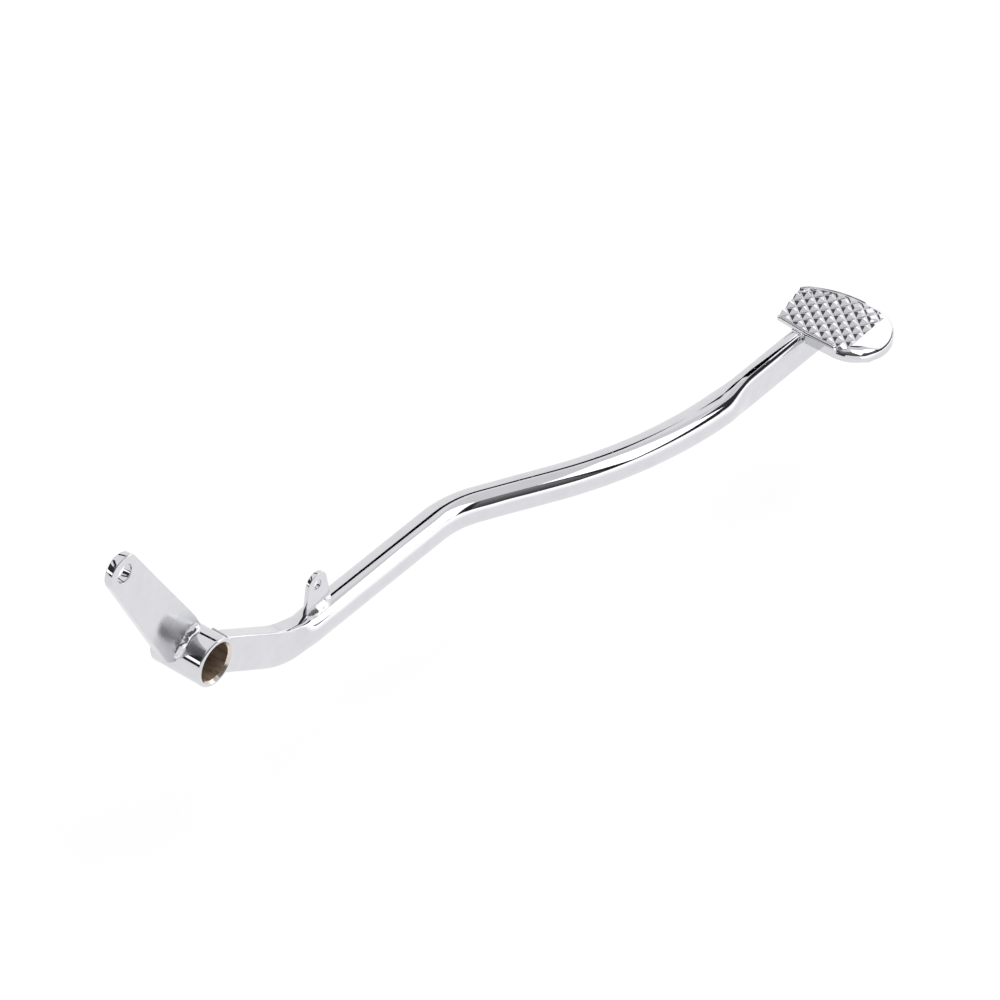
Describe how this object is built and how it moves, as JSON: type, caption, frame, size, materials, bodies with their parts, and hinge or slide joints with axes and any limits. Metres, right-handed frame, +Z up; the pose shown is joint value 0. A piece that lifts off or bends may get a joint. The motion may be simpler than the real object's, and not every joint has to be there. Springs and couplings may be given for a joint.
{
  "type": "rear brake pedal",
  "caption": "Chrome-plated steel rear brake pedal for a motorcycle: pivot sleeve with a brake rod lever, bent tubular arm with a switch tab, and a foot pad with a diamond tread.",
  "frame": {"origin": "middle of the pivot bore, on its axis", "axes": "+X forward towards the foot pad, +Y inboard along the pivot bore, +Z up; the foot pad lies outward, at -Y"},
  "size_m": [0.4145, 0.1005, 0.114],
  "materials": {
    "plated_steel": "bright chrome plate on polished steel",
    "plated_weld": "chrome plate over an unground weld bead"
  },
  "bodies": {
    "root": {"pivot_sleeve": "plated_steel", "brake_rod_lever": "plated_steel", "lever_weld_outer": "plated_weld", "lever_weld_inner": "plated_weld", "pedal_arm": "plated_steel", "arm_weld": "plated_weld", "switch_tab": "plated_steel", "tab_weld": "plated_weld", "foot_pad": "plated_steel", "pad_weld_inboard": "plated_weld", "pad_weld_outward": "plated_weld", "pad_weld_rear": "plated_weld"}
  },
  "joints": []
}
